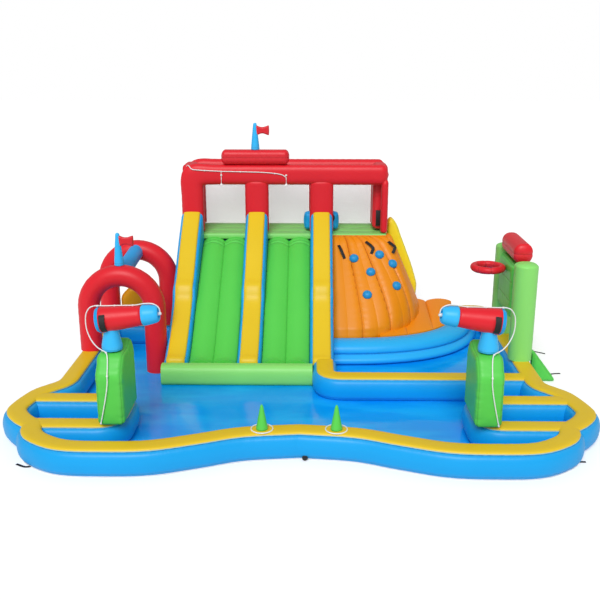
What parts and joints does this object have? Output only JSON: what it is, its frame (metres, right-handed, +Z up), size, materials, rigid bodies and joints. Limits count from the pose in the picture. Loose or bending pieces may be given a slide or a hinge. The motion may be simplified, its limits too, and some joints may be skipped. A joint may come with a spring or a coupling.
{
  "type": "inflatable water slide",
  "caption": "Inflatable water park: a walled splash pool with slides from a mesh-backed tower, a climbing wall, tube arches, a ball goal and swivelling water cannons.",
  "frame": {"origin": "centre of the footprint, on the ground", "axes": "+Z up; -Y is the open front of the splash pool, +Y the tower; +X is the climbing wall's side"},
  "size_m": [6.2804, 5.18, 2.9606],
  "materials": {
    "blue_vinyl": "satin",
    "yellow_vinyl": "satin",
    "green_vinyl": "satin",
    "pale_green_vinyl": "satin",
    "red_vinyl": "satin",
    "orange_vinyl": "satin",
    "grey_mesh": "matte",
    "white_plastic": "gloss"
  },
  "bodies": {
    "park": {"pool_floor": "blue_vinyl", "wall_front": "blue_vinyl", "wall_left": "blue_vinyl", "wall_right": "blue_vinyl", "wall_cap": "yellow_vinyl", "pocket_left": "blue_vinyl", "pocket_left_cap": "yellow_vinyl", "pocket_right": "blue_vinyl", "pocket_right_cap": "yellow_vinyl", "partition": "blue_vinyl", "partition_cap": "yellow_vinyl", "slide_wall_left": "blue_vinyl", "slide_wall_middle": "blue_vinyl", "slide_wall_right": "blue_vinyl", "slide_wall_left_cap": "yellow_vinyl", "slide_wall_middle_cap": "yellow_vinyl", "slide_wall_right_cap": "yellow_vinyl", "slide_bed_left": "green_vinyl", "slide_bed_right": "green_vinyl", "landing_roll": "green_vinyl", "tower_base": "blue_vinyl", "platform_deck": "pale_green_vinyl", "tower_front": "red_vinyl", "tower_back": "red_vinyl", "tower_side_left": "red_vinyl", "tower_side_right": "red_vinyl", "mesh_window_left": "grey_mesh", "mesh_window_middle": "grey_mesh", "mesh_window_right": "grey_mesh", "platform_divider": "blue_vinyl", "sign_cushion": "red_vinyl", "tower_flag": "blue_vinyl", "climbing_wall": "orange_vinyl", "foot_roll": "blue_vinyl", "side_ramp": "orange_vinyl", "wing": "yellow_vinyl", "arch_front": "red_vinyl", "arch_back": "red_vinyl", "ridge_tube": "blue_vinyl", "arch_panel": "yellow_vinyl", "arch_flag": "blue_vinyl", "goal_post_front": "green_vinyl", "goal_post_back": "green_vinyl", "goal_board": "green_vinyl", "goal_ring": "red_vinyl", "goal_roll": "red_vinyl", "cannon_stand_left": "green_vinyl", "cannon_stand_right": "green_vinyl", "cannon_hose_left": "white_plastic", "cannon_hose_right": "white_plastic", "marker_cone_left": "green_vinyl", "marker_cone_right": "green_vinyl", "ground_hose": "white_plastic", "tower_hose": "white_plastic"},
    "cannon_left": {"cannon_neck_left": "blue_vinyl", "cannon_barrel_left": "red_vinyl"},
    "cannon_right": {"cannon_neck_right": "blue_vinyl", "cannon_barrel_right": "red_vinyl"},
    "ring_left": {"toss_ring_left": "white_plastic"},
    "ring_right": {"toss_ring_right": "white_plastic"}
  },
  "joints": [
    {"name": "cannon_left_swivel", "type": "hinge", "parent": "park", "child": "cannon_left", "pos_m": [-1.88, -1.7954, 1.0249], "axis": [0, 0, 1], "range_deg": [-25, 25], "stiffness_Nm_per_rad": 1.5, "deforming": ["cannon_hose_left"]},
    {"name": "cannon_right_swivel", "type": "hinge", "parent": "park", "child": "cannon_right", "pos_m": [1.88, -1.7954, 1.0249], "axis": [0, 0, 1], "range_deg": [-25, 25], "stiffness_Nm_per_rad": 1.5, "deforming": ["cannon_hose_right"]},
    {"name": "ring_left_lift", "type": "slide", "parent": "park", "child": "ring_left", "axis": [0, 0, 1], "range_m": [0, 0.3]},
    {"name": "ring_right_lift", "type": "slide", "parent": "park", "child": "ring_right", "axis": [0, 0, 1], "range_m": [0, 0.3]}
  ]
}
